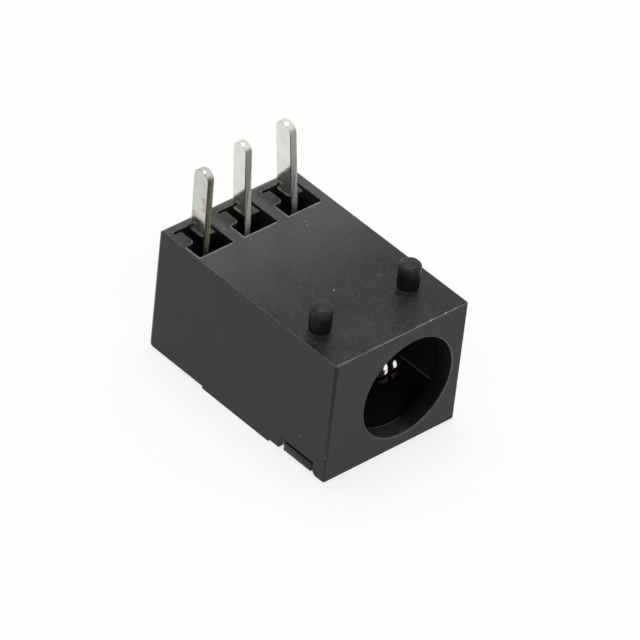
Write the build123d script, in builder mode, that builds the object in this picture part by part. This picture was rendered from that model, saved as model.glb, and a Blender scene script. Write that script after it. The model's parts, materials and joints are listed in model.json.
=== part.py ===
from build123d import *
from math import radians, tan
import os

os.makedirs("parts", exist_ok=True)

# Right-angle dc power socket that is soldered to a circuit board, in millimetres.
# It stands upside down, as it was pictured: the board side faces +Z, the socket
# faces -Y and the foot rails of its true top rest on z = 0. The origin is under
# the middle of the housing. Lengths called distances run back from the front face.

# Socket, which sets the housing's height and most of its length
mouth_radius = 2.99
mouth_chamfer = 0.06
socket_floor = 0.71
socket_roof = 0.86
socket_wall = 0.67
ring_length = 1.05
bore_length = 9.2
end_wall = 1.55
bore_relief = 0.18
trough_overhang = 0.08
trough_drop = 1.57

# Walls and foot rails of the housing
side_wall = 0.45
rear_wall = 0.62
rear_edge_radius = 0.4
rear_foot_radius = 0.4
rear_corner_radius = 0.25
front_corner_radius = 0.15
foot_proud = 0.15
foot_distance = 4.25
foot_length = 5.2

# Board posts, in line with the outer terminals
post_distance = 2.83
post_radius = 0.6
post_height = 1.5
post_chamfer = 0.12

# Terminal pockets in the board face, whose row sets the housing's width
pocket_pitch = 3.0
pocket_width = 2.25
pocket_left_wall = 0.225
pocket_right_wall = 0.525
bay_length = 2.35
pocket_depth = 2.2
pocket_floor = 0.4
pocket_chamfer = 0.08
ledge_length = 1.11
ledge_slot = 0.17
ledge_gap = 0.3
ledge_radius = 0.3
slot_inset = 0.18
low_ledge_length = 1.0
low_ledge_drop = 0.27
low_ledge_radius = 0.15

# Cover
cover_thickness = 0.6
cover_clearance = 0.04
recess_distance = 0.9
recess_edge_radius = 0.3
tab_length = 2.1
tab_recess = 0.08
tab_gap = 0.1
notch_spare = 0.35
groove_height = 0.13
cover_chamfer = 0.12

# Contacts, stamped from one sheet and bent
sheet = 0.44
bend_radius = 0.35
blade_widths = (1.07, 0.95, 1.14)
blade_gaps = (0.5, 0.42, 0.48)
blade_heights = (4.32, 4.82, 5.06)
blade_leans = (1.5, 5.3, 7.5)
lean_depth = 0.5
tip_flat = 0.02
contact_clearance = 0.04
shoulder = 0.06
stamping_radius = 0.1
foot_width = 1.2
foot_inset = 0.5

# Sleeve spring
leaf_height = 1.9
leaf_ceiling = 0.25
leaf_room = 0.33
channel_distance = 2.6
leaf_tip_gap = 0.8
bump_run = 1.3
bump_bite = 0.26
tip_retreat = 0.15
finger_length = 1.0
finger_inset = 0.3
finger_drop = 1.7
finger_relief = 0.06

# Shunt contact
shunt_height = 0.9
shunt_tip_inset = 0.2
shunt_cross_depth = 0.9

# Centre pin
pin_radius = 1.0
pin_tip_distance = 1.4
pin_nose_radius = 0.6
pin_core_radius = 0.22
pin_slit_width = 0.25
pin_slit_length = 4.2
pin_slit_turn = 9.0
collar_radius = 1.6
collar_length = 0.5
tail_radius = 0.45
tail_clearance = 0.01
rivet_radius = 0.58
rivet_length = 0.3
plate_half_width = 1.15
plate_half_height = 1.1
plate_corner_radius = 0.4
rivet_room = 0.15

# Places worked out from the sizes above
body_width = 2 * pocket_pitch + pocket_width + pocket_left_wall + pocket_right_wall
body_length = bore_length + end_wall + bay_length + rear_wall
body_height = socket_floor + 2 * mouth_radius + socket_roof
underside = foot_proud
board_level = underside + body_height
cover_inside = underside + cover_thickness
axis_x = body_width / 2 - socket_wall - mouth_radius
axis_z = underside + socket_floor + mouth_radius
row_offset = (pocket_left_wall - pocket_right_wall) / 2
post_spacing = 2 * pocket_pitch
bore_radius = mouth_radius + bore_relief
trough_half_width = mouth_radius + trough_overhang
trough_ceiling = axis_z - trough_drop
bay_front = bore_length + end_wall
bay_back = bay_front + bay_length
floor_top = board_level - pocket_depth
bay_ceiling = floor_top - pocket_floor
ledge_front = bay_back - ledge_slot - ledge_length
low_ledge_front = bay_back - low_ledge_length
slot_width = sheet + 2 * contact_clearance
blade_xs = [row_offset + step * pocket_pitch for step in (-1, 0, 1)]
blade_backs = [bay_back - gap for gap in blade_gaps]
spring_x, pin_blade_x, shunt_x = blade_xs
body_top = bay_ceiling - contact_clearance
body_front = bay_front + contact_clearance
body_back = max(blade_backs) + shoulder
leaf_bottom = axis_z - leaf_height / 2
leaf_top = axis_z + leaf_height / 2
channel_top = leaf_top + leaf_ceiling
leaf_tip_distance = channel_distance + leaf_tip_gap
finger_front = leaf_tip_distance + finger_inset
finger_back = finger_front + finger_length
bump_distance = finger_back + bump_run
bump_x = axis_x - mouth_radius + bump_bite - sheet / 2
tip_x = axis_x - mouth_radius - tip_retreat - sheet / 2
shunt_run_x = tip_x + sheet
shunt_top = cover_inside + shunt_height
shunt_tip_distance = leaf_tip_distance + shunt_tip_inset
shunt_cross_distance = bore_length + shunt_cross_depth


def place(distance):
    """The y of a point at this distance behind the front face."""
    return distance - body_length / 2


front_plane = Plane.XZ.offset(body_length / 2)
side_plane = Plane.YZ.offset(-body_width / 2)
socket_axis = Axis((axis_x, 0, axis_z), (0, 1, 0))
shunt_route = [
    (shunt_x, place(body_back)),
    (shunt_x, place(shunt_cross_distance)),
    (shunt_run_x, place(shunt_cross_distance)),
    (shunt_run_x, place(shunt_tip_distance)),
]

# Housing: a moulded block with a stepped socket, three terminal pockets,
# a bay behind the end wall for each contact, and two posts for the board
with BuildPart() as housing:
    with BuildSketch(side_plane):
        with Locations((0, underside)):
            Rectangle(body_length, body_height, align=(Align.CENTER, Align.MIN))
        fillet(vertices().group_by(Axis.Y)[-1].sort_by(Axis.X)[-1], rear_edge_radius)
        fillet(vertices().group_by(Axis.Y)[0].sort_by(Axis.X)[-1], rear_foot_radius)
    extrude(amount=body_width)
    with BuildSketch(Plane.XY.offset(underside)):
        Rectangle(body_width, body_length)
        fillet(vertices().group_by(Axis.Y)[-1], rear_corner_radius)
        fillet(vertices().group_by(Axis.Y)[0], front_corner_radius)
    extrude(amount=body_height, mode=Mode.INTERSECT)

    # Terminal pockets, each narrowed at the back by a ledge level with the board
    # face, behind which a slot stays open; a fine chamfer runs round each rim
    ledge_offset = sheet / 2 + ledge_gap
    ledge_width = pocket_width / 2 - ledge_offset
    with BuildSketch() as ledge:
        Rectangle(ledge_width, ledge_length, align=(Align.MAX, Align.MIN))
        fillet(vertices().group_by(Axis.Y)[0].sort_by(Axis.X)[-1], ledge_radius)
    with BuildSketch(Plane.XY.offset(board_level)):
        with Locations((row_offset, place(bay_front))):
            with GridLocations(pocket_pitch, 0, 3, 1):
                Rectangle(pocket_width, bay_length, align=(Align.CENTER, Align.MIN))
        with Locations((row_offset - ledge_offset, place(ledge_front))):
            with GridLocations(pocket_pitch, 0, 3, 1):
                add(ledge.sketch, mode=Mode.SUBTRACT)
        with Locations((row_offset - pocket_width / 2, place(bay_back))):
            with GridLocations(pocket_pitch, 0, 3, 1):
                Rectangle(slot_inset, ledge_slot, align=(Align.MIN, Align.MAX), mode=Mode.SUBTRACT)
    extrude(amount=-pocket_depth, mode=Mode.SUBTRACT)
    rims = housing.faces().sort_by(Axis.Z)[-1].inner_wires().edges()
    chamfer(rims, pocket_chamfer)

    # Lower ledge on the other side of each blade, rounded towards it
    for blade_x in blade_xs:
        with BuildSketch(front_plane.offset(-low_ledge_front)):
            with Locations((blade_x + ledge_offset, floor_top)):
                Rectangle(ledge_width, pocket_depth - low_ledge_drop, align=(Align.MIN, Align.MIN))
            fillet(vertices().group_by(Axis.Y)[-1].sort_by(Axis.X)[0], low_ledge_radius)
        extrude(amount=-low_ledge_length)

    # Posts that enter the board
    with BuildSketch(Plane.XY.offset(board_level)):
        with Locations((row_offset, place(post_distance))):
            with GridLocations(post_spacing, 0, 2, 1):
                Circle(post_radius)
    extrude(amount=post_height)
    chamfer(housing.edges().group_by(Axis.Z)[-1], post_chamfer)

    # Round mouth, and behind its ring a slightly wider bore with a trough under it
    with BuildSketch(front_plane):
        with Locations((axis_x, axis_z)):
            Circle(mouth_radius)
    extrude(amount=-ring_length, mode=Mode.SUBTRACT)
    mouth = housing.edges().filter_by(GeomType.CIRCLE).group_by(Axis.Y)[0]
    chamfer(mouth, mouth_chamfer)
    with BuildSketch(front_plane.offset(-ring_length)):
        with Locations((axis_x, axis_z)):
            Circle(bore_radius)
        with Locations((axis_x, cover_inside)):
            Rectangle(
                2 * trough_half_width, trough_ceiling - cover_inside, align=(Align.CENTER, Align.MIN)
            )
    extrude(amount=ring_length - bore_length, mode=Mode.SUBTRACT)

    # Channel in which the leaf of the sleeve spring gives way
    channel_left = min(spring_x, tip_x) - sheet / 2 - leaf_room
    with BuildSketch(Plane.XY.offset(cover_inside)):
        with Locations((channel_left, place(channel_distance))):
            Rectangle(
                axis_x - channel_left, bore_length - channel_distance, align=(Align.MIN, Align.MIN)
            )
    extrude(amount=channel_top - cover_inside, mode=Mode.SUBTRACT)

    # Bays behind the end wall, and a slit in each pocket floor for its blade
    with BuildSketch(Plane.XY.offset(cover_inside)):
        with Locations((row_offset, place(bay_front + bay_length / 2))):
            with GridLocations(pocket_pitch, 0, 3, 1):
                Rectangle(pocket_width, bay_length)
    extrude(amount=bay_ceiling - cover_inside, mode=Mode.SUBTRACT)
    with BuildSketch(Plane.XY.offset(bay_ceiling)):
        for blade_x, back, width in zip(blade_xs, blade_backs, blade_widths):
            with Locations((blade_x, place(back - width / 2))):
                Rectangle(slot_width, width + 2 * contact_clearance)
    extrude(amount=pocket_floor, mode=Mode.SUBTRACT)

    # Slots in the end wall that hold the spring's root and the shunt's crossing
    with BuildSketch(Plane.XY.offset(cover_inside)):
        with Locations((spring_x, place(bore_length))):
            Rectangle(slot_width, end_wall, align=(Align.CENTER, Align.MIN))
    extrude(amount=channel_top - cover_inside, mode=Mode.SUBTRACT)
    with BuildSketch(Plane.XY.offset(cover_inside)):
        with BuildLine():
            FilletPolyline(*shunt_route, radius=bend_radius)
        trace(line_width=slot_width)
    extrude(amount=shunt_height + contact_clearance, mode=Mode.SUBTRACT)

    # Hole for the pin's tail, and room behind it for the riveted plate
    with BuildSketch(front_plane.offset(-bore_length)):
        with Locations((axis_x, axis_z)):
            Circle(tail_radius + tail_clearance)
    extrude(amount=-end_wall, mode=Mode.SUBTRACT)
    with BuildSketch(Plane.XY.offset(cover_inside)):
        with Locations((pin_blade_x, place(bay_front))):
            Rectangle(
                axis_x + plate_half_width + contact_clearance - pin_blade_x,
                sheet + rivet_length + rivet_room,
                align=(Align.MIN, Align.MIN),
            )
    extrude(amount=bay_ceiling - cover_inside, mode=Mode.SUBTRACT)

    # Recess for the cover, and a notch in each side wall for its tabs
    with BuildSketch(Plane.XY.offset(underside)):
        with Locations((0, place(recess_distance))):
            Rectangle(
                body_width - 2 * side_wall, bay_back - recess_distance, align=(Align.CENTER, Align.MIN)
            )
    extrude(amount=cover_thickness, mode=Mode.SUBTRACT)
    notch_length = tab_gap + tab_length + notch_spare
    with BuildSketch(Plane.XY.offset(underside)):
        for side in (-1, 1):
            with Locations((side * (body_width - side_wall) / 2, place(recess_distance + notch_length / 2))):
                Rectangle(side_wall, notch_length)
    extrude(amount=cover_thickness + groove_height, mode=Mode.SUBTRACT)
    low_edges = housing.edges().filter_by(Axis.X).group_by(Axis.Z)[0]
    fillet(low_edges.group_by(Axis.Y)[1], recess_edge_radius)

    # Foot rails along both side walls
    with BuildSketch(Plane.XY):
        for side in (-1, 1):
            with Locations((side * (body_width - side_wall) / 2, place(foot_distance + foot_length / 2))):
                Rectangle(side_wall, foot_length)
    extrude(amount=foot_proud)
housing.part.label = "housing"

# Cover: a plate that closes the true top, with a tab in each side notch
with BuildPart() as cover:
    cover_front = recess_distance + tab_gap
    cover_length = bay_back - cover_clearance - cover_front
    with BuildSketch(Plane.XY.offset(underside)):
        with Locations((0, place(cover_front))):
            Rectangle(
                body_width - 2 * (side_wall + cover_clearance),
                cover_length,
                align=(Align.CENTER, Align.MIN),
            )
    extrude(amount=cover_thickness)
    chamfer(cover.faces().sort_by(Axis.Z)[0].edges(), cover_chamfer)
    with BuildSketch(Plane.XY.offset(underside + tab_recess)):
        with Locations((0, place(cover_front))):
            Rectangle(body_width, tab_length, align=(Align.CENTER, Align.MIN))
    extrude(amount=cover_thickness - tab_recess)
cover.part.label = "cover"

# Centre pin: turned, hollow and slit in four at its nose, with a collar
# against the end wall and a tail that is riveted over the terminal plate
with BuildPart() as center_pin:
    wall_y = place(bore_length)
    plate_y = place(bay_front + sheet)
    with BuildSketch(Plane.YZ.offset(axis_x)):
        with Locations((place(pin_tip_distance), axis_z)):
            Rectangle(bore_length - pin_tip_distance, pin_radius, align=(Align.MIN, Align.MIN))
        fillet(vertices().group_by(Axis.X)[0].sort_by(Axis.Y)[-1], pin_nose_radius)
        with Locations((wall_y - collar_length, axis_z)):
            Rectangle(collar_length, collar_radius, align=(Align.MIN, Align.MIN))
        with Locations((wall_y, axis_z)):
            Rectangle(end_wall + sheet, tail_radius, align=(Align.MIN, Align.MIN))
        with Locations((plate_y, axis_z)):
            Rectangle(rivet_length, rivet_radius, align=(Align.MIN, Align.MIN))
        fillet(vertices().group_by(Axis.X)[-1].sort_by(Axis.Y)[-1], rivet_length * 0.8)
    revolve(axis=socket_axis)
    nose_plane = front_plane.offset(-pin_tip_distance)
    with BuildSketch(nose_plane):
        with Locations((axis_x, axis_z)):
            Circle(pin_core_radius)
    extrude(amount=-pin_slit_length, mode=Mode.SUBTRACT)
    with BuildSketch(nose_plane):
        with Locations((axis_x, axis_z)):
            for turn in (0, 90):
                Rectangle(pin_slit_width, 2.2 * pin_radius, rotation=pin_slit_turn + turn)
    extrude(amount=-pin_slit_length, mode=Mode.SUBTRACT)
center_pin.part.label = "center_pin"


def add_blade(number):
    """Adds its solder blade to a terminal: upright to just under the board face, then leaning left."""
    x = blade_xs[number]
    width = blade_widths[number]
    bend = board_level - lean_depth
    top = board_level + blade_heights[number]
    shift = (top - bend) * tan(radians(blade_leans[number]))
    with BuildSketch(Plane.XZ.offset(-place(blade_backs[number]))) as front_view:
        with BuildLine():
            Polyline((x, axis_z), (x, bend), (x - shift, top))
        trace(line_width=sheet)
    extrude(front_view.sketch, amount=width)
    tip_edges = faces().sort_by(Axis.Z)[-1].edges().sort_by(Edge.length)[:2]
    fillet(tip_edges, (width - tip_flat) / 2)


def add_outline(low_distance, high_distance, low_z, high_z):
    """Adds a rectangle to a terminal's side outline."""
    with Locations((place(low_distance), low_z)):
        Rectangle(high_distance - low_distance, high_z - low_z, align=(Align.MIN, Align.MIN))


# Sleeve spring: a leaf beside the socket, bowed into it, with a finger at its tip
# that rests against the shunt contact until a plug pushes the leaf away
with BuildPart() as sleeve_spring:
    with BuildSketch(Plane.XY.offset(cover_inside)):
        with BuildLine():
            FilletPolyline(
                (spring_x, place(body_back)),
                (spring_x, place(bore_length)),
                (bump_x, place(bump_distance)),
                (tip_x, place(finger_back)),
                (tip_x, place(leaf_tip_distance)),
                radius=bend_radius,
            )
        trace(line_width=sheet)
    extrude(amount=body_top - cover_inside)
    with BuildSketch(side_plane):
        add_outline(leaf_tip_distance, body_back, leaf_bottom, leaf_top)
        add_outline(finger_front, finger_back - finger_relief, leaf_bottom - finger_drop, leaf_top)
        add_outline(body_front, body_back, leaf_bottom, body_top)
        foot_front = body_front + foot_inset
        add_outline(foot_front, foot_front + foot_width, cover_inside, body_top)
        fillet(vertices(), stamping_radius)
    extrude(amount=body_width, mode=Mode.INTERSECT)
    add_blade(0)
sleeve_spring.part.label = "sleeve_spring"

# Pin terminal: a plate riveted to the centre pin, bent back and drawn up to its blade
with BuildPart() as pin_terminal:
    plate_end = axis_x + plate_half_width
    plate_middle = bay_front + sheet / 2
    with BuildSketch(Plane.XY.offset(cover_inside)):
        with BuildLine():
            FilletPolyline(
                (plate_end, place(plate_middle)),
                (pin_blade_x, place(plate_middle)),
                (pin_blade_x, place(body_back)),
                radius=bend_radius,
            )
        trace(line_width=sheet)
    extrude(amount=body_top - cover_inside)
    with BuildSketch(side_plane):
        add_outline(bay_front, body_back, axis_z - plate_half_height, axis_z + plate_half_height)
        foot_front = bay_front + sheet + foot_inset
        add_outline(foot_front, foot_front + foot_width, cover_inside, axis_z)
        add_outline(foot_front, body_back, axis_z, body_top)
    extrude(amount=body_width, mode=Mode.INTERSECT)
    plate_corners = pin_terminal.edges().filter_by(Axis.Y).group_by(Axis.X)[-1]
    fillet(plate_corners, plate_corner_radius)
    with BuildSketch(front_plane.offset(-bay_front)):
        with Locations((axis_x, axis_z)):
            Circle(tail_radius + tail_clearance)
    extrude(amount=-sheet, mode=Mode.SUBTRACT)
    add_blade(1)
pin_terminal.part.label = "pin_terminal"

# Shunt contact: a strip that crosses under the pin and runs forward to the spring's finger
with BuildPart() as shunt_contact:
    with BuildSketch(Plane.XY.offset(cover_inside)):
        with BuildLine():
            FilletPolyline(*shunt_route, radius=bend_radius)
        trace(line_width=sheet)
    extrude(amount=body_top - cover_inside)
    with BuildSketch(side_plane):
        add_outline(shunt_tip_distance, body_back, cover_inside, shunt_top)
        add_outline(body_front, body_back, cover_inside, body_top)
        fillet(vertices(), stamping_radius)
    extrude(amount=body_width, mode=Mode.INTERSECT)
    add_blade(2)
shunt_contact.part.label = "shunt_contact"

for piece in (housing, cover, center_pin, sleeve_spring, pin_terminal, shunt_contact):
    export_step(piece.part, f"parts/{piece.part.label}.step")
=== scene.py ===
import json
from math import radians
from random import Random

import bmesh
import bpy
from mathutils import Matrix, Vector, noise


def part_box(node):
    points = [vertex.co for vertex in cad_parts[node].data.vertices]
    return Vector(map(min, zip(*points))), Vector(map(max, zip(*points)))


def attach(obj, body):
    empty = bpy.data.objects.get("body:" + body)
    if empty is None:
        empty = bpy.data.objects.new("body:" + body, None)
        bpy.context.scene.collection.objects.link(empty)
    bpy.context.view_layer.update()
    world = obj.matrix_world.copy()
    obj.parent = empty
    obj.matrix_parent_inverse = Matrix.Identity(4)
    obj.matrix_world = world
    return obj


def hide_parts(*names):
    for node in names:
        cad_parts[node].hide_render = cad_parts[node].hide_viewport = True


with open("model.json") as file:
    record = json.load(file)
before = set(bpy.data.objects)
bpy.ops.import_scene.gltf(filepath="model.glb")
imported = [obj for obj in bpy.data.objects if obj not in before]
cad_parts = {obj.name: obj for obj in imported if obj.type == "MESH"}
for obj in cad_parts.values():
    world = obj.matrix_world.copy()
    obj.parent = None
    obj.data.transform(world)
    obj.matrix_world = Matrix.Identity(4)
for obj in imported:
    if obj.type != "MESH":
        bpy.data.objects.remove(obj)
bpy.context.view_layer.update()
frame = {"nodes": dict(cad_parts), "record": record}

# Lengths are in metres, as in the frame. MM turns the millimetres of a drawing into them
MM = 0.001

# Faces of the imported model
housing_low, housing_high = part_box("housing")
left_x = housing_low.x
right_x = housing_high.x
front_y = housing_low.y
rear_y = housing_high.y
mounts = {mount["name"]: mount for mount in frame["record"]["mounts"]}
board_z = mounts["board_face"]["pos_m"][2]

# The same and more in millimetres, in which the materials work
left_mm = left_x / MM
front_mm = front_y / MM
rear_mm = rear_y / MM
board_mm = board_z / MM
socket_mm = Vector(mounts["socket"]["pos_m"]) / MM
mouth_radius_mm = mounts["socket"]["dims"]["r_mm"]
nose_mm = Vector(mounts["pin_nose"]["pos_m"]) / MM
blades_mm = [Vector(mounts[name]["pos_m"]) / MM for name in ("sleeve_blade", "pin_blade", "shunt_blade")]
half_sheet_mm = 0.22
ring_end_mm = front_mm + 1.05

# Where the two clumps of flash stand along the front edge
clumps_mm = (1.9, 2.93)

# Colours of dust, tin and painted light
film_grey = (0.2, 0.205, 0.19)
# Painted light: a pool of light on the board face, and highlights on the rims of the board face, mouth and
# pockets
light_pool_grey = (0.078, 0.081, 0.08)
rim_highlight_grey = (0.42, 0.42, 0.39)
pocket_rim_highlight_grey = (0.42, 0.42, 0.37)
speck_grey = (0.36, 0.36, 0.34)
tin_dull = (0.89, 0.90, 0.82)
tin_bright = (1.0, 1.0, 0.94)


# Shader tools


def new_group(name, inputs, outputs):
    """An empty shader group that takes Place and the named inputs, and puts out the named values.

    Returns its tree, the sockets that it is given and the sockets that it puts out.
    """
    tree = bpy.data.node_groups.new(name, "ShaderNodeTree")
    for socket_name, start in {"Place": (0.0, 0.0, 0.0), **inputs}.items():
        kind = "NodeSocketVector" if isinstance(start, tuple) else "NodeSocketFloat"
        tree.interface.new_socket(socket_name, in_out="INPUT", socket_type=kind).default_value = start
    for socket_name in outputs:
        tree.interface.new_socket(socket_name, in_out="OUTPUT", socket_type="NodeSocketFloat")
    return tree, tree.nodes.new("NodeGroupInput").outputs, tree.nodes.new("NodeGroupOutput").inputs


def add(tree, kind, **values):
    """A new node. A name that starts with in_ is an input, by its name or number, and any other is a setting.

    An input that is given a socket is linked to it, and anything else is set.
    """
    node = tree.nodes.new(kind)
    inputs = {name[3:].replace("_", " "): value for name, value in values.items() if name.startswith("in_")}
    for name, value in values.items():
        if not name.startswith("in_"):
            setattr(node, name, value)
    for name, value in inputs.items():
        target = node.inputs[int(name)] if name.isdigit() else node.inputs[name]
        if isinstance(value, bpy.types.NodeSocket):
            tree.links.new(value, target)
        else:
            target.default_value = value
    return node


def maths(tree, operation, first, second=0.0, clamp=False):
    node = add(tree, "ShaderNodeMath", operation=operation, use_clamp=clamp, in_0=first, in_1=second)
    return node.outputs[0]


def times(tree, first, second):
    return maths(tree, "MULTIPLY", first, second)


def vector_maths(tree, operation, first, second=(0.0, 0.0, 0.0)):
    """Outputs of a vector operation: Vector, and Value where the result is a number."""
    return add(tree, "ShaderNodeVectorMath", operation=operation, in_0=first, in_1=second).outputs


def ramp(tree, value, low, high, to_low=0.0, to_high=1.0):
    """value carried smoothly from low..high to to_low..to_high, and held outside."""
    node = add(
        tree, "ShaderNodeMapRange", interpolation_type="SMOOTHSTEP", in_Value=value,
        in_From_Min=low, in_From_Max=high, in_To_Min=to_low, in_To_Max=to_high,
    )
    return node.outputs["Result"]


def strongest(tree, masks):
    """The highest of several masks."""
    total = masks[0]
    for mask in masks[1:]:
        total = maths(tree, "MAXIMUM", total, mask)
    return total


def mix_colours(tree, share, first, second):
    """first turned into second by share. Each colour is three numbers or a socket."""
    first, second = [(*colour, 1.0) if isinstance(colour, tuple) else colour for colour in (first, second)]
    return add(tree, "ShaderNodeMix", data_type="RGBA", in_0=share, in_6=first, in_7=second).outputs[2]


def shade(colour, factor):
    """A colour made darker or brighter, but never brighter than bare metal is."""
    return tuple(min(part * factor, 0.9) for part in colour)


def place_in_mm(tree):
    """Object coordinates in millimetres."""
    place = add(tree, "ShaderNodeTexCoord").outputs["Object"]
    return add(tree, "ShaderNodeVectorMath", operation="SCALE", in_0=place, in_Scale=1 / MM).outputs[0]


def axes(tree, vector):
    """The X, Y and Z of a vector."""
    return add(tree, "ShaderNodeSeparateXYZ", in_0=vector).outputs


def facing(tree):
    """How far the surface faces along X, Y and Z."""
    return axes(tree, add(tree, "ShaderNodeNewGeometry").outputs["Normal"])


def out_from_axis(tree, place, centre):
    """The vector to place from the line that runs through centre along Y."""
    apart = vector_maths(tree, "SUBTRACT", place, centre)["Vector"]
    return vector_maths(tree, "MULTIPLY", apart, (1.0, 0.0, 1.0))["Vector"]


def noise_in(tree, vector, per_mm, detail, roughness=0.5):
    node = add(
        tree, "ShaderNodeTexNoise", in_Vector=vector, in_Scale=per_mm,
        in_Detail=detail, in_Roughness=roughness,
    )
    return node.outputs["Fac"]


def use_group(tree, group, place, **inputs):
    """Outputs of a group placed in a material."""
    return add(tree, "ShaderNodeGroup", node_tree=group, in_Place=place, **inputs).outputs


# Shader groups


def make_moulded_skin():
    """Skin of a moulded plastic: spark-eroded grain, a wider mottle and slow clouds of tone."""
    tree, given, out = new_group(
        "moulded_skin", {"Grain per mm": 14.0, "Cloud per mm": 0.5}, ["Height", "Tone", "Cloud"]
    )
    grain = noise_in(tree, given["Place"], given["Grain per mm"], 4.0, 0.65)
    pits = add(
        tree, "ShaderNodeTexVoronoi", feature="SMOOTH_F1", in_Vector=given["Place"],
        in_Scale=times(tree, given["Grain per mm"], 0.55), in_Smoothness=0.6,
    )
    mottle = noise_in(tree, given["Place"], 4.5, 3.0, 0.6)
    cloud = noise_in(tree, given["Place"], given["Cloud per mm"], 2.0)
    height = maths(tree, "ADD", grain, times(tree, pits.outputs["Distance"], 0.6))
    height = maths(tree, "ADD", height, times(tree, mottle, 1.2))
    tree.links.new(height, out["Height"])
    tree.links.new(ramp(tree, grain, 0.3, 0.7), out["Tone"])
    tree.links.new(ramp(tree, cloud, 0.3, 0.7), out["Cloud"])
    return tree


def make_loose_dust():
    """Loose dust, most of it on what faces up: scattered specks and a thin film. Up is what faces up."""
    tree, given, out = new_group("loose_dust", {"Specks per mm": 2.2, "Amount": 0.5}, ["Speck", "Film", "Up"])
    cells = add(
        tree, "ShaderNodeTexVoronoi", feature="F1", in_Vector=given["Place"],
        in_Scale=given["Specks per mm"], in_Randomness=1.0,
    )
    chance = add(tree, "ShaderNodeSeparateColor", in_Color=cells.outputs["Color"]).outputs[0]
    reach = times(tree, ramp(tree, chance, 0.8, 0.98), 0.085)
    speck = ramp(tree, maths(tree, "SUBTRACT", reach, cells.outputs["Distance"]), 0.0, 0.05)
    film = ramp(tree, noise_in(tree, given["Place"], 3.0, 5.0, 0.7), 0.45, 0.75)
    upward = facing(tree)["Z"]
    amount = times(tree, ramp(tree, upward, 0.2, 0.9, 0.25, 1.0), given["Amount"])
    tree.links.new(times(tree, speck, amount), out["Speck"])
    tree.links.new(times(tree, film, amount), out["Film"])
    tree.links.new(ramp(tree, upward, 0.8, 0.98), out["Up"])
    return tree


def make_plated_skin():
    """Tin plate on stamped sheet: dull clouds, and a height of fine drag lines and pinholes."""
    tree, given, out = new_group("plated_skin", {"Lines per mm": 16.0}, ["Height", "Cloud"])
    drawn_out = add(tree, "ShaderNodeMapping", in_Vector=given["Place"], in_Scale=(1.0, 1.0, 0.06)).outputs[0]
    lines = noise_in(tree, drawn_out, given["Lines per mm"], 3.0, 0.6)
    pinholes = noise_in(tree, given["Place"], 22.0, 3.0, 0.6)
    cloud = noise_in(tree, given["Place"], 1.6, 4.0, 0.6)
    tree.links.new(maths(tree, "ADD", lines, times(tree, pinholes, 0.4)), out["Height"])
    tree.links.new(ramp(tree, cloud, 0.35, 0.65), out["Cloud"])
    return tree


def make_cut_edge():
    """Cut faces of an upright blade whose flat sides look left and right.

    Mask is the cut face, Grit its grain, and Glint the painted glints on the brightest of that grain.
    Line is the corner where the cut face meets a flat side.
    """
    tree, given, out = new_group("cut_edge", {"Raggedness": 0.2}, ["Mask", "Grit", "Line", "Glint"])
    surface = facing(tree)
    sideways = maths(tree, "ABSOLUTE", surface["X"])
    ragged = maths(tree, "SUBTRACT", noise_in(tree, given["Place"], 9.0, 4.0, 0.7), 0.5)
    ragged = maths(tree, "ADD", sideways, times(tree, ragged, given["Raggedness"]))
    upright = ramp(tree, surface["Z"], 0.35, 0.75, 1.0, 0.0)
    corner = times(tree, ramp(tree, sideways, 0.3, 0.6), ramp(tree, sideways, 0.75, 0.97, 1.0, 0.0))
    grit = noise_in(tree, given["Place"], 13.0, 5.0, 0.75)
    painted_glint = noise_in(tree, given["Place"], 7.0, 3.0, 0.8)
    tree.links.new(times(tree, ramp(tree, ragged, 0.35, 0.6, 1.0, 0.0), upright), out["Mask"])
    tree.links.new(ramp(tree, grit, 0.40, 0.60), out["Grit"])
    tree.links.new(corner, out["Line"])
    tree.links.new(ramp(tree, painted_glint, 0.55, 0.61), out["Glint"])
    return tree


def make_rim_highlight():
    """Upper rims of a block, broken up by noise, where painted highlights go: where the surface turns from
    upward to upright.

    Turned away is what of them faces right or rearward, as the left and front rims of a pocket do.
    """
    limits = {"Lowest mm": 0.0, "Highest mm": 10.0, "Rearmost mm": 10.0}
    tree, given, out = new_group("rim_highlight", limits, ["Rim", "Turned away"])
    surface = facing(tree)
    along = axes(tree, given["Place"])
    not_flat = ramp(tree, surface["Z"], 0.86, 0.97, 1.0, 0.0)
    not_upright = ramp(tree, surface["Z"], 0.12, 0.35)
    above = maths(tree, "GREATER_THAN", along["Z"], given["Lowest mm"])
    below = maths(tree, "LESS_THAN", along["Z"], given["Highest mm"])
    ahead = maths(tree, "LESS_THAN", along["Y"], given["Rearmost mm"])
    broken = ramp(tree, noise_in(tree, given["Place"], 2.4, 5.0, 0.75), 0.32, 0.62, 0.25, 1.0)
    rim = times(tree, times(tree, not_flat, not_upright), times(tree, times(tree, above, below), ahead))
    away = strongest(tree, [surface["X"], surface["Y"]])
    tree.links.new(times(tree, rim, broken), out["Rim"])
    tree.links.new(ramp(tree, away, 0.1, 0.5), out["Turned away"])
    return tree


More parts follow.
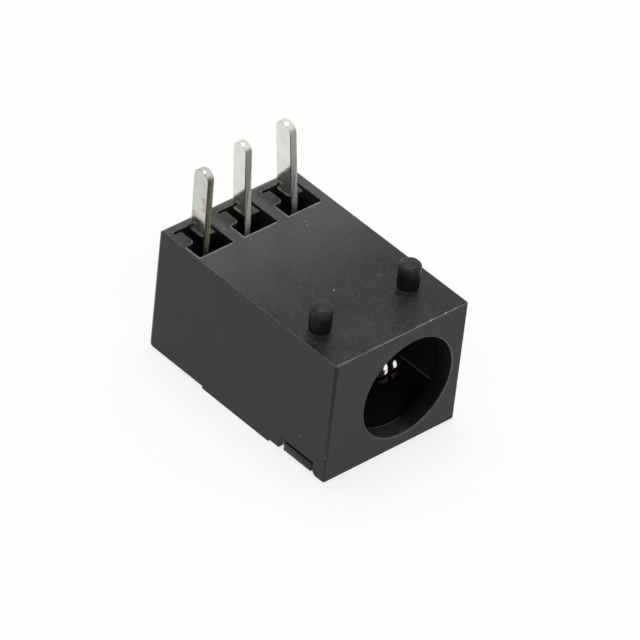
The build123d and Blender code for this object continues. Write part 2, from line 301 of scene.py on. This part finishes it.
def make_ring_light():
    """A ring round an axis along Y, between two radii and ahead of Rearmost, broken up by noise, where
    painted light goes.

    Lit is 1 on the side of the axis that Lit way points to.
    """
    axis = {"Centre": (0.0, 0.0, 0.0), "Lit way": (0.0, 0.0, -1.0)}
    limits = {"Inner mm": 1.0, "Outer mm": 1.1, "Rearmost mm": 0.0}
    tree, given, out = new_group("ring_light", {**axis, **limits}, ["Rim", "Lit"])
    outward = out_from_axis(tree, given["Place"], given["Centre"])
    radius = vector_maths(tree, "LENGTH", outward)["Value"]
    direction = vector_maths(tree, "NORMALIZE", outward)["Vector"]
    side = vector_maths(tree, "DOT_PRODUCT", direction, given["Lit way"])["Value"]
    middle = times(tree, maths(tree, "ADD", given["Inner mm"], given["Outer mm"]), 0.5)
    half_width = times(tree, maths(tree, "SUBTRACT", given["Outer mm"], given["Inner mm"]), 0.5)
    from_middle = maths(tree, "ABSOLUTE", maths(tree, "SUBTRACT", radius, middle))
    rim = ramp(tree, maths(tree, "DIVIDE", from_middle, half_width), 0.7, 1.1, 1.0, 0.0)
    rim = times(tree, rim, maths(tree, "LESS_THAN", axes(tree, given["Place"])["Y"], given["Rearmost mm"]))
    broken = ramp(tree, noise_in(tree, given["Place"], 1.6, 4.0, 0.7), 0.3, 0.65, 0.45, 1.0)
    tree.links.new(times(tree, rim, broken), out["Rim"])
    tree.links.new(ramp(tree, side, -0.6, 0.8), out["Lit"])
    return tree


def make_marks(name, marks):
    """A mask of small ragged marks. Each mark is (x, y, z, radius) in millimetres."""
    tree, given, out = new_group(name, {}, ["Mask"])
    sway = 0.05
    wobble = add(tree, "ShaderNodeTexNoise", in_Vector=given["Place"], in_Scale=16.0, in_Detail=2.0)
    swayed = add(
        tree, "ShaderNodeVectorMath", operation="MULTIPLY_ADD",
        in_0=wobble.outputs["Color"], in_1=(sway, sway, sway), in_2=given["Place"],
    ).outputs[0]
    masks = []
    for x, y, z, radius in marks:
        centre = (x + sway / 2, y + sway / 2, z + sway / 2)
        distance = vector_maths(tree, "DISTANCE", swayed, centre)["Value"]
        masks.append(ramp(tree, distance, radius * 0.5, radius, 1.0, 0.0))
    tree.links.new(strongest(tree, masks), out["Mask"])
    return tree


def make_lines(name, lines):
    """A mask of what lies near straight lines. Each line is (start, end, radius) in millimetres."""
    tree, given, out = new_group(name, {}, ["Mask"])
    masks = []
    for start, end, radius in lines:
        run = end - start
        from_start = vector_maths(tree, "SUBTRACT", given["Place"], start)["Vector"]
        along = vector_maths(tree, "DOT_PRODUCT", from_start, run / run.length_squared)["Value"]
        held = maths(tree, "MINIMUM", maths(tree, "MAXIMUM", along, 0.0), 1.0)
        nearest = add(tree, "ShaderNodeVectorMath", operation="SCALE", in_0=run, in_Scale=held).outputs[0]
        distance = vector_maths(tree, "DISTANCE", from_start, nearest)["Value"]
        masks.append(ramp(tree, distance, radius * 0.4, radius, 1.0, 0.0))
    tree.links.new(strongest(tree, masks), out["Mask"])
    return tree


def make_board_specks():
    """Specks and nicks: on the board face, on the clumps of flash, and on the left side and its edge."""
    on_board = [
        (-0.47, -2.10, 0.06), (1.96, 2.72, 0.045), (2.09, 3.03, 0.04),
        (-1.18, 3.50, 0.045), (-1.78, 4.92, 0.045), (-3.31, 3.78, 0.06),
    ]
    on_left_edge = [(1.75, 0.055), (2.58, 0.04), (3.82, 0.04)]
    edge_y = front_mm + 0.06
    marks = [(x, y, board_mm, radius) for x, y, radius in on_board]
    marks += [(x, edge_y, board_mm + 0.04, radius) for x, radius in zip(clumps_mm, (0.10, 0.08))]
    marks += [(left_mm, -4.84, 1.89, 0.045)]
    marks += [(left_mm, edge_y, z, radius) for z, radius in on_left_edge]
    return make_marks("board_specks", marks)


def make_pin_highlights():
    """Painted highlights on the pin's nose, placed across and above its axis."""
    spots = [
        (-0.28, 0.62, 0.20), (-0.33, 0.48, 0.17), (-0.24, 0.20, 0.19),
        (0.31, 0.54, 0.19), (0.33, 0.38, 0.17),
    ]
    nose_y = nose_mm.y + 0.01
    return make_marks("pin_highlights", [(nose_mm.x + x, nose_y, nose_mm.z + z, radius) for x, z, radius in spots])


def make_left_stains():
    """Brown stains on the left face of the left blade, placed ahead of the rear and above the board face."""
    spots = [
        (2.00, 2.65, 0.24), (2.08, 2.35, 0.28), (2.06, 2.00, 0.26),
        (1.36, 1.30, 0.34), (1.61, 0.95, 0.30),
    ]
    face_x = blades_mm[0].x - half_sheet_mm
    return make_marks("left_stains", [(face_x, rear_mm - y, board_mm + z, radius) for y, z, radius in spots])


def make_trough_edge():
    """A painted highlight on the lower edge of the trough beside the socket."""
    start = Vector((socket_mm.x + 2.75, ring_end_mm, socket_mm.z - 1.57))
    return make_lines("trough_edge", [(start, start + Vector((0.0, 2.4, 0.0)), 0.13)])


def make_pocket_rims():
    """The left and front rims of the pockets, from the corner where they meet, where painted highlights go.
    """
    lines = []
    for blade in blades_mm:
        corner = Vector((blade.x - 1.205, rear_mm - 3.05, board_mm))
        lines.append((corner, corner + Vector((0.0, 1.0, 0.0)), 0.105))
        lines.append((corner, corner + Vector((2.1, 0.0, 0.0)), 0.105))
    return make_lines("pocket_rims", lines)


def make_ledge_shade():
    """The ledges on the left of the blades, which get less of the board's painted light: a painted shade."""
    lines = []
    for blade in blades_mm:
        back = Vector((blade.x - 0.85, rear_mm - 0.95, board_mm - 0.15))
        lines.append((back - Vector((0.0, 0.85, 0.0)), back, 0.75))
    return make_lines("ledge_shade", lines)


moulded_skin = make_moulded_skin()
loose_dust = make_loose_dust()
plated_skin = make_plated_skin()
cut_edge = make_cut_edge()
rim_highlight = make_rim_highlight()
ring_light = make_ring_light()
board_specks = make_board_specks()
pin_highlights = make_pin_highlights()
left_stains = make_left_stains()
trough_edge = make_trough_edge()
pocket_rims = make_pocket_rims()
ledge_shade = make_ledge_shade()


# Materials


def start_material(name):
    """A new node material. Returns it, its tree, its principled shader and its place in millimetres."""
    material = bpy.data.materials.new(name)
    material.use_nodes = True
    tree = material.node_tree
    return material, tree, tree.nodes["Principled BSDF"], place_in_mm(tree)


def finish_surface(tree, shader, colour, roughness, height, depth_mm):
    """Sends colour, roughness and a bump of the given depth to the shader."""
    relief = add(tree, "ShaderNodeBump", in_Strength=1.0, in_Distance=depth_mm * MM, in_Height=height)
    tree.links.new(colour, shader.inputs["Base Color"])
    tree.links.new(roughness, shader.inputs["Roughness"])
    tree.links.new(relief.outputs["Normal"], shader.inputs["Normal"])


def add_light_pool(tree, place, up, colour):
    """A painted pool of light on the board face, which grows towards the pockets and leaves out their ledges.
    """
    along = axes(tree, place)
    light_pool = maths(tree, "POWER", ramp(tree, along["Y"], front_mm + 2.6, rear_mm - 2.8), 1.7)
    light_pool = times(tree, light_pool, up)
    light_pool = times(tree, light_pool, ramp(tree, along["Z"], board_mm - 0.2, board_mm - 0.08))
    # Less painted light on the ledges, a painted shade
    on_ledge = use_group(tree, ledge_shade, place)["Mask"]
    light_pool = times(tree, light_pool, maths(tree, "SUBTRACT", 1.0, times(tree, on_ledge, 0.75)))
    return mix_colours(tree, times(tree, light_pool, 0.72), colour, light_pool_grey)


def add_rim_highlights(tree, place, colour):
    """Painted highlights on the rims of the board face, of the mouth and of the pockets."""
    upper = use_group(
        tree, rim_highlight, place,
        in_Lowest_mm=board_mm - 0.1, in_Highest_mm=board_mm + 0.14, in_Rearmost_mm=rear_mm - 0.5,
    )
    # Rims turned right or rearward get a stronger painted highlight
    share = ramp(tree, upper["Turned away"], 0.0, 1.0, 0.26, 0.7)
    colour = mix_colours(tree, times(tree, upper["Rim"], share), colour, rim_highlight_grey)

    # A painted highlight on the mouth's rim, strongest on its lower right, the lit side
    mouth = use_group(
        tree, ring_light, place, in_Centre=socket_mm, in_Lit_way=(0.75, 0.0, -0.66),
        in_Inner_mm=mouth_radius_mm - 0.01, in_Outer_mm=mouth_radius_mm + 0.09,
        in_Rearmost_mm=front_mm + 0.2,
    )
    share = ramp(tree, mouth["Lit"], 0.0, 1.0, 0.02, 0.24)
    colour = mix_colours(tree, times(tree, mouth["Rim"], share), colour, rim_highlight_grey)

    # Painted highlights on the pockets' left and front rims
    broken = ramp(tree, noise_in(tree, place, 2.0, 4.0, 0.7), 0.3, 0.6, 0.35, 1.0)
    share = times(tree, times(tree, use_group(tree, pocket_rims, place)["Mask"], broken), 0.45)
    return mix_colours(tree, share, colour, pocket_rim_highlight_grey)


def make_black_plastic(name, base, pale, roughness, gloss, dust_amount, marks=None, with_painted_light=False):
    """Satin black moulding with grain, a faint film and specks. A flag adds the housing's painted pool of
    light and painted rim highlights.
    """
    material, tree, shader, place = start_material(name)
    skin = use_group(tree, moulded_skin, place)
    dust = use_group(tree, loose_dust, place, in_Amount=dust_amount)
    colour = mix_colours(tree, times(tree, skin["Cloud"], 0.4), base, pale)
    colour = mix_colours(tree, times(tree, skin["Tone"], 0.45), colour, pale)
    colour = mix_colours(tree, times(tree, dust["Film"], 0.14), colour, film_grey)
    # The housing gets painted light: a pool of light on the board face and highlights on its rims
    if with_painted_light:
        colour = add_light_pool(tree, place, dust["Up"], colour)
        colour = add_rim_highlights(tree, place, colour)
    speck = dust["Speck"]
    if marks:
        speck = strongest(tree, [speck, use_group(tree, marks, place)["Mask"]])
    colour = mix_colours(tree, times(tree, speck, 0.8), colour, speck_grey)
    rough = ramp(tree, skin["Cloud"], 0.0, 1.0, roughness - 0.04, roughness + 0.05)
    rough = maths(tree, "ADD", rough, times(tree, speck, 0.3), clamp=True)
    finish_surface(tree, shader, colour, rough, skin["Height"], 0.009)
    shader.inputs["Specular IOR Level"].default_value = gloss
    return material


def make_inside_black():
    """Core-side plastic of the socket and pockets: near black, with painted light low in the ring and painted
    highlights along two edges.
    """
    material, tree, shader, place = start_material("inside_black")
    skin = use_group(tree, moulded_skin, place)
    colour = mix_colours(tree, skin["Cloud"], (0.011, 0.011, 0.010), (0.017, 0.017, 0.0155))

    ring = use_group(
        tree, ring_light, place, in_Centre=socket_mm, in_Lit_way=(-0.62, 0.0, -0.785),
        in_Inner_mm=mouth_radius_mm - 0.15, in_Outer_mm=mouth_radius_mm + 0.1,
        in_Rearmost_mm=ring_end_mm + 0.06,
    )
    # Painted light on the lower left of the ring's wall
    low = times(tree, ramp(tree, ring["Lit"], 0.93, 1.02), ring["Rim"])
    colour = mix_colours(tree, times(tree, low, 0.22), colour, (0.20, 0.20, 0.195))

    # Painted highlights on the ring's back edge and the trough's lower edge
    from_step = maths(tree, "ABSOLUTE", maths(tree, "SUBTRACT", axes(tree, place)["Y"], ring_end_mm))
    step = times(tree, ramp(tree, from_step, 0.05, 0.10, 1.0, 0.0), low)
    edge = use_group(tree, trough_edge, place)["Mask"]
    pale = strongest(tree, [times(tree, step, 0.9), times(tree, edge, 0.3)])
    colour = mix_colours(tree, pale, colour, (0.34, 0.34, 0.31))

    rough = ramp(tree, skin["Cloud"], 0.0, 1.0, 0.36, 0.46)
    finish_surface(tree, shader, colour, rough, skin["Height"], 0.005)
    shader.inputs["Specular IOR Level"].default_value = 0.15
    return material


def make_post_black():
    """Polished sides of the posts, with painted shade: near black low down and greyer towards their tops."""
    material, tree, shader, place = start_material("post_black")
    skin = use_group(tree, moulded_skin, place)
    # Painted shade along the posts' height: darker low down, greyer at the tops
    height = ramp(tree, axes(tree, place)["Z"], board_mm + 0.7, board_mm + 1.45)
    colour = mix_colours(tree, skin["Cloud"], (0.004, 0.0042, 0.0038), (0.008, 0.0084, 0.0078))
    colour = mix_colours(tree, height, colour, (0.03, 0.031, 0.0295))
    rough = ramp(tree, skin["Cloud"], 0.0, 1.0, 0.2, 0.3)
    finish_surface(tree, shader, colour, rough, skin["Height"], 0.006)
    shader.inputs["Specular IOR Level"].default_value = 0.09
    return material


def make_tin(name, blade, brightness, edge, edge_share, edge_roughness, dark_mm, stains=None):
    """Bright tin-plated stamping whose cut edges show the sheet inside.

    edge is the colour of the sheet, and dark_mm how far in from its left side a cut face is darker.
    """
    material, tree, shader, place = start_material(name)
    skin = use_group(tree, plated_skin, place)
    cut = use_group(tree, cut_edge, place)
    across = axes(tree, place)["X"]
    left = blade.x - half_sheet_mm
    plate = mix_colours(tree, skin["Cloud"], shade(tin_dull, brightness), shade(tin_bright, brightness))

    bare = mix_colours(tree, cut["Grit"], shade(edge, 0.55), shade(edge, 1.9))
    dark = ramp(tree, across, left + 0.04, left + dark_mm, 0.8, 0.0)
    bare = mix_colours(tree, dark, bare, shade(edge, 0.25))
    # Painted glints on the outer half of the cut face
    painted_glint = times(tree, cut["Glint"], ramp(tree, across, left + 0.2, left + 0.32))
    bare = mix_colours(tree, painted_glint, bare, (0.85, 0.85, 0.80))

    bare_share = times(tree, cut["Mask"], edge_share)
    colour = mix_colours(tree, bare_share, plate, bare)
    colour = mix_colours(tree, times(tree, cut["Line"], 0.85), colour, shade(edge, 0.35))
    if stains:
        streaks = ramp(tree, noise_in(tree, place, 5.0, 4.0, 0.7), 0.42, 0.62, 0.08, 0.75)
        stained = times(tree, use_group(tree, stains, place)["Mask"], streaks)
        colour = mix_colours(tree, stained, colour, (0.36, 0.24, 0.13))

    rough = ramp(tree, skin["Cloud"], 0.0, 1.0, 0.10, 0.16)
    rough = maths(tree, "ADD", rough, times(tree, bare_share, edge_roughness), clamp=True)
    height = maths(tree, "ADD", times(tree, skin["Height"], 0.012), times(tree, cut["Grit"], bare_share))
    metallic = maths(tree, "SUBTRACT", 1.0, times(tree, bare_share, 0.45), clamp=True)
    finish_surface(tree, shader, colour, rough, height, 0.012)
    tree.links.new(metallic, shader.inputs["Metallic"])
    return material


def make_pin_metal():
    """Turned brass, near black as painted shade of the dark socket, reddish at its core, with painted
    highlights on its nose.
    """
    material, tree, shader, place = start_material("pin_metal")
    skin = use_group(tree, plated_skin, place, in_Lines_per_mm=9.0)
    painted_highlights = use_group(tree, pin_highlights, place)["Mask"]
    radius = vector_maths(tree, "LENGTH", out_from_axis(tree, place, socket_mm))["Value"]
    core = times(tree, ramp(tree, radius, 0.2, 0.4, 1.0, 0.0), 0.7)
    # Near black: painted shade, since the shiny pin shows the dark socket
    colour = mix_colours(tree, skin["Cloud"], (0.006, 0.005, 0.005), (0.018, 0.014, 0.012))
    colour = mix_colours(tree, core, colour, (0.055, 0.016, 0.010))
    # Painted highlights where the nose catches the light
    colour = mix_colours(tree, painted_highlights, colour, (0.9, 0.9, 0.87))
    finish_surface(tree, shader, colour, ramp(tree, painted_highlights, 0.0, 1.0, 0.42, 0.12), skin["Height"], 0.002)
    shader.inputs["Metallic"].default_value = 1.0
    return material


housing_black = make_black_plastic(
    "housing_black", base=(0.0075, 0.0087, 0.0077), pale=(0.025, 0.027, 0.025),
    roughness=0.29, gloss=0.2, dust_amount=0.7, marks=board_specks, with_painted_light=True,
)
inside_black = make_inside_black()
post_black = make_post_black()
cover_black = make_black_plastic(
    "cover_black", base=(0.008, 0.009, 0.0083), pale=(0.014, 0.015, 0.0142),
    roughness=0.36, gloss=0.245, dust_amount=0.3,
)
# The flash is the moulding made pale grey: a painted highlight along the front edge
flash_highlight = make_black_plastic(
    "flash_highlight", base=(0.07, 0.072, 0.07), pale=(0.30, 0.30, 0.285),
    roughness=0.35, gloss=0.5, dust_amount=0.9, marks=board_specks,
)
left_tin = make_tin(
    "left_tin", blades_mm[0], brightness=0.58, edge=(0.22, 0.20, 0.14),
    edge_share=0.95, edge_roughness=0.3, dark_mm=0.18, stains=left_stains,
)
middle_tin = make_tin(
    "middle_tin", blades_mm[1], brightness=0.75, edge=(0.95, 0.95, 0.84),
    edge_share=0.9, edge_roughness=0.6, dark_mm=0.08,
)
right_tin = make_tin(
    "right_tin", blades_mm[2], brightness=0.75, edge=(1.0, 1.0, 0.94),
    edge_share=0.85, edge_roughness=0.15, dark_mm=0.06,
)
pin_metal = make_pin_metal()


# Pieces


def housing_finish(face):
    """Which of the housing's materials a face has.

    0 is the outside, 1 the inside of the socket and the pockets, and 2 the side of a post.
    """
    place = face.calc_center_median()
    upright = abs(face.normal.z) < 0.1
    if upright and place.z > board_z + 0.1 * MM:
        return 2
    outer_skin = 0.15 * MM
    front_skin = 0.07 * MM
    cover_top = 0.7 * MM
    ledge_depth = 0.45 * MM
    inside = (
        left_x + outer_skin < place.x < right_x - outer_skin
        and front_y + front_skin < place.y < rear_y - outer_skin
        and cover_top < place.z < board_z - ledge_depth
    )
    return 1 if inside else 0


def show(name, mesh):
    """A piece that rides with the body."""
    piece = bpy.data.objects.new(name, mesh)
    bpy.context.scene.collection.objects.link(piece)
    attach(piece, "root")
    return piece


def dress(node, materials, edge_mm, segments=2, flat_deg=0.5, finish=None):
    """A merged copy of a CAD node with small rounded edges, which stands for the node.

    Faces within flat_deg of each other are joined, and finish picks each face's material.
    """
    merge_gap = 0.0005 * MM
    sharp_deg = 28
    mesh = frame["nodes"][node].data.copy()
    mesh.name = f"{node}_skin"
    form = bmesh.new()
    form.from_mesh(mesh)
    bmesh.ops.remove_doubles(form, verts=form.verts, dist=merge_gap)
    if flat_deg:
        bmesh.ops.dissolve_limit(form, angle_limit=radians(flat_deg), verts=form.verts, edges=form.edges)
    for face in form.faces:
        face.smooth = True
        face.material_index = finish(face) if finish else 0
    mesh.materials.clear()
    for material in materials:
        mesh.materials.append(material)
    form.to_mesh(mesh)
    form.free()
    piece = show(mesh.name, mesh)
    edges = piece.modifiers.new("edges", "BEVEL")
    edges.width = edge_mm * MM
    edges.segments = segments
    edges.limit_method = "ANGLE"
    edges.angle_limit = radians(sharp_deg)
    edges.use_clamp_overlap = False
    edges.loop_slide = False
    shading = piece.modifiers.new("shading", "WEIGHTED_NORMAL")
    shading.mode = "FACE_AREA"
    shading.weight = 80
    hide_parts(node)


housing_blacks = [housing_black, inside_black, post_black]
dress("housing", housing_blacks, edge_mm=0.033, finish=housing_finish)
dress("cover", [cover_black], edge_mm=0.03)
dress("center_pin", [pin_metal], edge_mm=0.006, flat_deg=0)
for contact, tin in (("sleeve_spring", left_tin), ("pin_terminal", middle_tin), ("shunt_contact", right_tin)):
    dress(contact, [tin], edge_mm=0.045, segments=3)


def flash_height(along, chance):
    """Height of the flash in millimetres at a place along the front edge: a swell, grain and two clumps."""
    swell = noise.noise((along * 1.3, 0.0, 4.0)) + 0.45 * noise.noise((along * 5.0, 2.0, 1.0))
    wide_clump = max(0.0, 1 - abs(along - clumps_mm[0]) / 0.22)
    small_clump = 0.8 * max(0.0, 1 - abs(along - clumps_mm[1]) / 0.18)
    return max(0.004, 0.035 + 0.05 * swell + 0.012 * chance.random() + 0.05 * (wide_clump + small_clump))


def make_flash():
    """The ragged fin of moulding flash that stands along the front edge of the board face."""
    chance = Random(7)
    steps = 220
    end_gap = 0.05 * MM
    half_height = 0.02 * MM
    step_run = (right_x - left_x - 2 * end_gap) / steps
    start = Vector((left_x + end_gap, front_y + 0.03 * MM, board_z))
    form = bmesh.new()
    low = form.verts.new(start - Vector((0, 0, half_height)))
    high = form.verts.new(start + Vector((0, 0, half_height)))
    leading = [form.edges.new((low, high))]
    for _ in range(steps):
        moved = bmesh.ops.extrude_edge_only(form, edges=leading)["geom"]
        verts = [part for part in moved if isinstance(part, bmesh.types.BMVert)]
        leading = [part for part in moved if isinstance(part, bmesh.types.BMEdge)]
        bmesh.ops.translate(form, verts=verts, vec=(step_run, 0, 0))
    for vert in form.verts:
        if vert.co.z > board_z:
            along = vert.co.x / MM
            vert.co.z = board_z + MM * flash_height(along, chance)
            vert.co.y += MM * 0.012 * noise.noise((along * 3.0, 7.0, 0.0))
    bmesh.ops.solidify(form, geom=form.faces[:], thickness=0.025 * MM)
    bmesh.ops.recalc_face_normals(form, faces=form.faces)
    # Solidify makes its rim in another order each run, so the faces are put in a fixed one
    sorting_way = Vector((1.0, 0.3, 0.1))
    form.faces.sort(key=lambda face: face.calc_center_median().dot(sorting_way))
    mesh = bpy.data.meshes.new("front_flash")
    form.to_mesh(mesh)
    form.free()
    mesh.materials.append(flash_highlight)
    show("front_flash", mesh)


make_flash()


# Studio


def seen_directly(tree):
    """1 for what the camera or a reflection shows, and 0 for what only lights other things."""
    ray = add(tree, "ShaderNodeLightPath").outputs
    return strongest(tree, [ray["Is Camera Ray"], ray["Is Glossy Ray"], ray["Is Transmission Ray"]])


def make_floor():
    """A pale disc just below the foot rails.

    Where it is seen directly, most of it is a white glow and the rest is lit, which keeps a soft shadow.
    """
    form = bmesh.new()
    below_rails = Matrix.Translation((0, 0, -0.01 * MM))
    bmesh.ops.create_circle(form, cap_ends=True, segments=96, radius=1.2, matrix=below_rails)
    mesh = bpy.data.meshes.new("floor")
    form.to_mesh(mesh)
    form.free()
    material = bpy.data.materials.new("pale_floor")
    material.use_nodes = True
    tree = material.node_tree
    tree.nodes.clear()
    lit = add(tree, "ShaderNodeBsdfDiffuse", in_Color=(0.86, 0.86, 0.86, 1))
    glow = add(tree, "ShaderNodeEmission")
    glow_share = times(tree, seen_directly(tree), 0.8)
    both = add(tree, "ShaderNodeMixShader", in_0=glow_share, in_1=lit.outputs[0], in_2=glow.outputs[0])
    add(tree, "ShaderNodeOutputMaterial", in_Surface=both.outputs[0])
    mesh.materials.append(material)
    floor = bpy.data.objects.new("floor", mesh)
    bpy.context.scene.collection.objects.link(floor)


def make_world():
    """A plain room that lights softly, and is white where it is seen directly."""
    world = bpy.data.worlds.new("studio")
    bpy.context.scene.world = world
    world.use_nodes = True
    tree = world.node_tree
    tree.nodes.clear()
    room = add(tree, "ShaderNodeBackground", in_Color=(0.95, 0.97, 1.0, 1), in_Strength=0.55)
    white = add(tree, "ShaderNodeBackground", in_Color=(1, 1, 1, 1), in_Strength=1.0)
    both = add(
        tree, "ShaderNodeMixShader", in_0=seen_directly(tree), in_1=room.outputs[0], in_2=white.outputs[0]
    )
    add(tree, "ShaderNodeOutputWorld", in_Surface=both.outputs[0])


def add_softbox(name, place, size, power):
    """A square area light that looks at the middle of the block, with its size in metres."""
    light = bpy.data.lights.new(name, "AREA")
    light.shape = "SQUARE"
    light.size = size
    light.energy = power
    middle = Vector((0, 0, 4 * MM))
    lamp = bpy.data.objects.new(name, light)
    lamp.location = place
    lamp.rotation_euler = (middle - Vector(place)).to_track_quat("-Z", "Y").to_euler()
    bpy.context.scene.collection.objects.link(lamp)


make_floor()
make_world()
add_softbox("overhead", place=(0.02, 0.05, 0.30), size=0.16, power=0.55)
add_softbox("front_fill", place=(-0.10, -0.26, 0.16), size=0.12, power=0.09)


def make_camera():
    """The camera as the photograph's perspective was solved: its place, and its turns in radians."""
    place = (-0.17684, -0.17393, 0.20107)
    heading = -0.7963
    downward = 0.6708
    roll = 0.115
    camera = bpy.data.cameras.new("camera")
    camera.lens = 348.0
    camera.sensor_width = 36
    camera.clip_start = 0.01
    camera.clip_end = 10
    aim = Matrix.Rotation(heading, 3, "Z") @ Matrix.Rotation(radians(90) - downward, 3, "X")
    aim = aim @ Matrix.Rotation(roll, 3, "Z")
    stand = bpy.data.objects.new("camera", camera)
    stand.matrix_world = Matrix.Translation(place) @ aim.to_4x4()
    bpy.context.scene.collection.objects.link(stand)
    bpy.context.scene.camera = stand


make_camera()
bpy.context.scene.view_settings.view_transform = "Standard"
